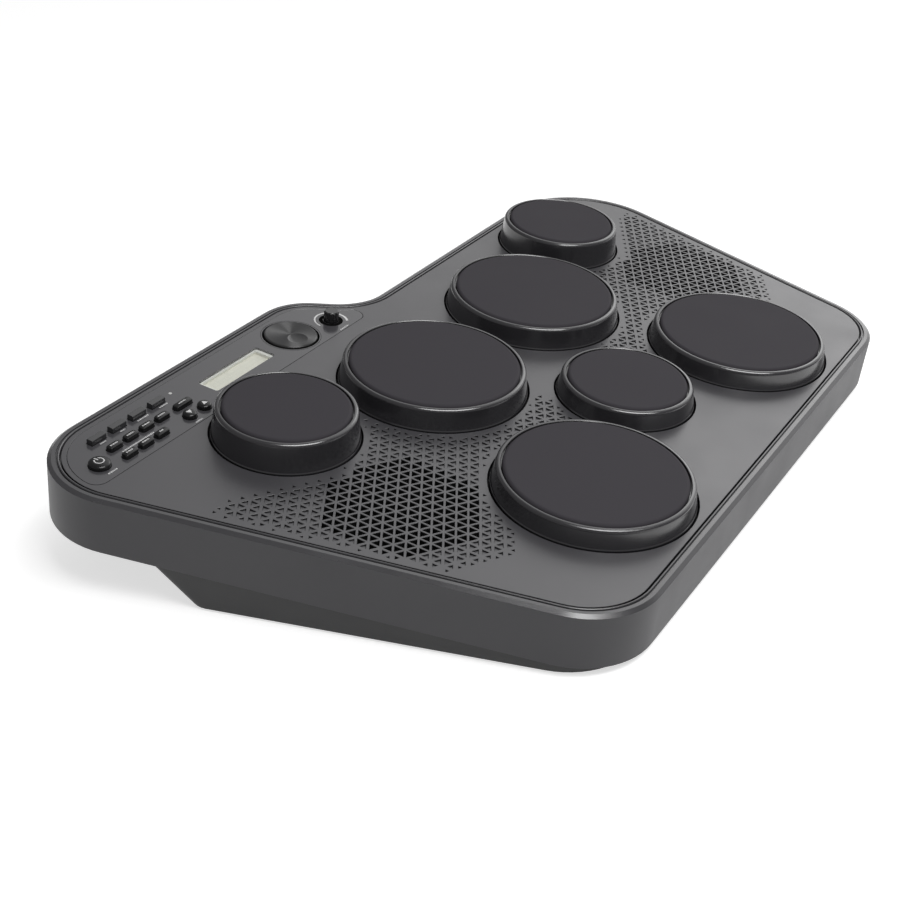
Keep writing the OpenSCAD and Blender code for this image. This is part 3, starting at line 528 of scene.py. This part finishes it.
def filled(loops, edge):
    """Triangles inside the edge and outside the other loops, as places in the list of all their points."""
    points = []
    sides = []
    loop_of = []
    for number, loop in enumerate(loops):
        start = len(points)
        sides += [(start + k, start + (k + 1) % len(loop)) for k in range(len(loop))]
        points += loop
        loop_of += [number] * len(loop)
    _, _, faces, origins, _, _ = delaunay_2d_cdt(points, sides, [], INSIDE_ONLY, SAME_POINT)
    triangles = [[origins[i][0] for i in face] for face in faces]
    return [t for t in triangles if loop_of[t[0]] == edge or len({loop_of[i] for i in t}) > 1]


def perforated_panel():
    """Painted face; speaker holes go through, faded ones are blind; their black lower walls are bare plastic
    and painted shade.
    """
    through = upper_loops("top_panel")
    edge = max(range(len(through)), key=lambda k: max(p.x for p in through[k]))
    loops = through + fading_holes(through[edge])
    eased = [moved_in(loop, HOLE_EASE) for loop in loops]
    depths = [PANEL_T] * len(through) + [DIMPLE] * (len(loops) - len(through))
    shape = bmesh.new()
    rings = [
        [[shape.verts.new((p.x, p.y, 0)) for p in loop] for loop in eased],
        [[shape.verts.new((p.x, p.y, -HOLE_EASE)) for p in loop] for loop in loops],
        [[shape.verts.new((p.x, p.y, -depth)) for p in loop] for loop, depth in zip(loops, depths)],
    ]
    # Walls below the eased edge take the black material: bare plastic that also stands in for shade in the
    # through holes, painted shade in the blind ones
    for number, (upper, lower) in enumerate(zip(rings, rings[1:])):
        for high, low in zip(upper, lower):
            for k in range(len(high)):
                wall = shape.faces.new((high[k - 1], low[k - 1], low[k], high[k]))
                wall.material_index = number
    for floor_of in rings[2][len(through):]:
        shape.faces.new(floor_of[::-1])
    for outline, ring, order in ((eased, rings[0], 1), (through, rings[2][:len(through)], -1)):
        corners = [vertex for loop in ring for vertex in loop]
        for face in filled(outline, edge):
            shape.faces.new([corners[i] for i in face][::order])
    mesh = bpy.data.meshes.new("perforated_panel")
    shape.to_mesh(mesh)
    shape.free()
    mesh.materials.append(panel_plastic)
    mesh.materials.append(black_plastic_and_hole_shade)
    piece = new_piece("perforated_panel", mesh, "case")
    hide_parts("top_panel")


perforated_panel()

# Printed marks: thin shapes laid on the surface below them

PRINT_T = 0.03
PRINT_STEP = 0.8
PRINT_SPLITS = 4
ABOVE_ALL = 50
DOWN = Vector((0, 0, -1))


def surface_of(node):
    mesh = NODES[node].data
    points = [in_panel(vertex.co) for vertex in mesh.vertices]
    return BVHTree.FromPolygons(points, [polygon.vertices[:] for polygon in mesh.polygons])


def printed(name, outlines, node, body, ink=print_white):
    """Outlines, in panel x and w, laid on a node as print."""
    surface = surface_of(node)
    shape = bmesh.new()
    for outline in outlines:
        shape.faces.new([shape.verts.new((x, w, 0)) for x, w in outline])
    bmesh.ops.triangulate(shape, faces=shape.faces)
    for _ in range(PRINT_SPLITS):
        long_edges = [edge for edge in shape.edges if edge.calc_length() > PRINT_STEP]
        bmesh.ops.subdivide_edges(shape, edges=long_edges, cuts=1)
        bmesh.ops.triangulate(shape, faces=shape.faces)
    for vertex in shape.verts:
        hit = surface.ray_cast(Vector((vertex.co.x, vertex.co.y, ABOVE_ALL)), DOWN)[0]
        vertex.co.z = (hit.z if hit else 0) + PRINT_T
    mesh = bpy.data.meshes.new(name)
    shape.to_mesh(mesh)
    shape.free()
    mesh.materials.append(ink)
    new_piece(name, mesh, body)


def bar(x, w, width, height):
    return [(x, w), (x + width, w), (x + width, w + height), (x, w + height)]


ARC_STEPS = 48


def arc_band(centre, radius, width, first=0, last=360, end_width=None):
    """Part of a ring, from one angle to another, as short quads; its width may change along it."""
    sides = []
    for k in range(ARC_STEPS + 1):
        t = k / ARC_STEPS
        half = (width + ((end_width or width) - width) * t) / 2
        turn = math.radians(first + (last - first) * t)
        reaches = (radius - half, radius + half)
        sides.append([(centre.x + r * math.cos(turn), centre.y + r * math.sin(turn)) for r in reaches])
    return [[inner, outer, next_outer, next_inner] for (inner, outer), (next_inner, next_outer)
            in zip(sides, sides[1:])]


STROKES = (0.8, 0.5, 1.0, 0.65)
STROKE_GAP = 0.4
STROKE_H = 1.1
SHORTEST_STROKE = 0.2


def caption(x, w, width):
    """A word's worth of short strokes, which says nothing."""
    strokes = []
    at = x
    while at < x + width - SHORTEST_STROKE:
        length = min(STROKES[len(strokes) % len(STROKES)], x + width - at)
        strokes.append(bar(at, w - STROKE_H / 2, length, STROKE_H))
        at += length + STROKE_GAP
    return strokes


# Captions on the plate: left end from the panel's left front corner, place up the slope, and length

CORNER_X = -218.8
CAPTIONS = (
    (-44, 327, 5), (-26, 327, 4.5), (-10.5, 327, 10.5), (10, 327, 7.5),
    (-42, 311.3, 28), (-65, 302, 7.5), (11, 298.8, 6.5), (168.5, 298.6, 9.5),
)
VOLUME_ARC = {"radius": 11.4, "width": 1.7, "first": -51, "last": 175, "end_width": 0.9}
KNOB_RING = {"radius": 7.1, "width": 2.8}
WHEEL_SEAM = 0.25
WHEEL_SEAM_GAP = 2.3

plate_print = []
for from_corner, w, width in CAPTIONS:
    plate_print += caption(CORNER_X + from_corner, w, width)
knob = in_panel(middle("volume_knob"))
plate_print += arc_band(knob, **VOLUME_ARC)
printed("plate_print", plate_print, "control_plate", "case")
wheel, wheel_radius = centre_and_radius("data_wheel")
control_rings = arc_band(knob, **KNOB_RING) + arc_band(wheel, wheel_radius + WHEEL_SEAM_GAP, WHEEL_SEAM)
printed("control_rings", control_rings, "control_plate", "case", print_black)

# Marks on the keys and the knob: lengths of captions, the power symbol, two arrows and a pointer

KEY_CAPTIONS = {
    "upper_key_1": 6.4, "upper_key_2": 6.0, "upper_key_3": 6.6, "upper_key_4": 6.8,
    "lower_key_1": 5.6, "lower_key_2": 6.0, "lower_key_3": 3.2, "long_key": 6.6,
}
for key, width in KEY_CAPTIONS.items():
    spot = in_panel(middle(key))
    printed(f"{key}_print", caption(spot.x - width / 2, spot.y, width), key, f"{key}_body")

POWER_LINE = 0.7
POWER_ARC = {"radius": 2.9, "width": POWER_LINE, "first": 120, "last": 420}
POWER_STEM_START = 0.8
POWER_STEM = 3.2
power = in_panel(middle("power_key"))
stem = bar(power.x - POWER_LINE / 2, power.y + POWER_STEM_START, POWER_LINE, POWER_STEM)
printed("power_key_print", arc_band(power, **POWER_ARC) + [stem], "power_key", "power_key_body")

ARROW = 2.1
ARROW_FOOT = ARROW * 0.7
for key, way in (("down_key", -1), ("up_key", 1)):
    spot = in_panel(middle(key))
    foot = spot.y - way * ARROW_FOOT
    triangle = [(spot.x - ARROW, foot), (spot.x + ARROW, foot), (spot.x, spot.y + way * ARROW)]
    printed(f"{key}_print", [triangle[::way]], key, f"{key}_body")

POINTER_W = 0.56
POINTER_L = 1.7
POINTER_START = 3.4
pointer = bar(knob.x - POINTER_W / 2, knob.y + POINTER_START, POINTER_W, POINTER_L)
printed("knob_pointer", [pointer], "volume_knob", "knob")

# Stage

FLOOR_SIZE = 80
FLOOR_GAP = 0.0001
FLOOR_LIFT = 0.64


def seen_directly(tree):
    """1 for rays that come from the camera, off a glossy surface or through glass, and 0 for the rest."""
    path = add(tree, "ShaderNodeLightPath")
    seen = path.outputs["Is Camera Ray"]
    for kind in ("Is Glossy Ray", "Is Transmission Ray"):
        either = add(tree, "ShaderNodeMath", operation="MAXIMUM")
        feed(tree, seen, either.inputs[0])
        feed(tree, path.outputs[kind], either.inputs[1])
        seen = either.outputs["Value"]
    return seen


def floor():
    """Pale paper, lifted to white where it is seen directly, that keeps the object's shadow."""
    paper = moulded("floor_paper", (0.62, 0.62, 0.62), 0.9, cloud=0.004, grain_depth=0.002, shine=0.0)
    tree = paper.node_tree
    shader = node_of_type(tree, "BSDF_PRINCIPLED")
    set_inputs(shader, Emission_Color=(1, 1, 1, 1))
    lift = remap(tree, seen_directly(tree), (0, FLOOR_LIFT), WHOLE)
    feed(tree, lift, shader.inputs["Emission Strength"])
    mesh = bpy.data.meshes.new("floor")
    half = FLOOR_SIZE / 2
    corners = [(x * half, y * half, -FLOOR_GAP) for x, y in ((-1, -1), (1, -1), (1, 1), (-1, 1))]
    mesh.from_pydata(corners, [], [(0, 1, 2, 3)])
    mesh.materials.append(paper)
    piece = bpy.data.objects.new("floor", mesh)
    bpy.context.scene.collection.objects.link(piece)


def facing(position, aim, roll=0.0):
    """Matrix of a lamp or camera at a position, which looks at an aim, turned about its line of sight."""
    turn = (Vector(aim) - Vector(position)).to_track_quat("-Z", "Y").to_matrix().to_4x4()
    return Matrix.Translation(position) @ turn @ Matrix.Rotation(roll, 4, "Z")


LAMP_AIM = (0, 0, 0.05)


def softbox(name, position, size, watts):
    lamp = bpy.data.lights.new(name, "AREA")
    lamp.shape = "RECTANGLE"
    lamp.size, lamp.size_y = size
    lamp.energy = watts
    holder = bpy.data.objects.new(name, lamp)
    holder.matrix_world = facing(position, LAMP_AIM)
    bpy.context.scene.collection.objects.link(holder)


def studio(level, wall_level, wall_towards, wall_edge):
    """Even soft light from all round, brighter towards a wide wall that fades out at its edge."""
    world = bpy.data.worlds.new("studio")
    bpy.context.scene.world = world
    world.use_nodes = True
    tree = world.node_tree
    coordinates = add(tree, "ShaderNodeTexCoord")
    towards = add(tree, "ShaderNodeVectorMath", operation="DOT_PRODUCT")
    towards.inputs[1].default_value = Vector(wall_towards).normalized()
    feed(tree, coordinates.outputs["Generated"], towards.inputs[0])
    strength = remap(tree, towards.outputs["Value"], (level, wall_level), (math.cos(wall_edge), 1))
    background = tree.nodes["Background"]
    set_inputs(background, Color=(1, 1, 1, 1))
    feed(tree, strength, background.inputs["Strength"])


floor()
studio(level=0.2, wall_level=1.4, wall_towards=(0.88, 0.0, 0.47), wall_edge=math.radians(44))
softbox("key", position=(-0.26, -0.75, 1.75), size=(1.2, 0.9), watts=25)
softbox("right", position=(2.2, 0.0, 1.25), size=(1.1, 0.9), watts=4)

CAMERA_AT = (-0.82688, -0.42444, 0.52580)
CAMERA_AIM = (-0.12526, -0.01634, 0.05536)
CAMERA_ROLL = math.radians(1.2075)
CAMERA_LENS = 60.68
CAMERA_SENSOR = 36
lens = bpy.data.cameras.new("camera")
lens.lens = CAMERA_LENS
lens.sensor_width = CAMERA_SENSOR
camera = bpy.data.objects.new("camera", lens)
camera.matrix_world = facing(CAMERA_AT, CAMERA_AIM, CAMERA_ROLL)
bpy.context.scene.collection.objects.link(camera)
bpy.context.scene.camera = camera
bpy.context.scene.view_settings.view_transform = "Standard"
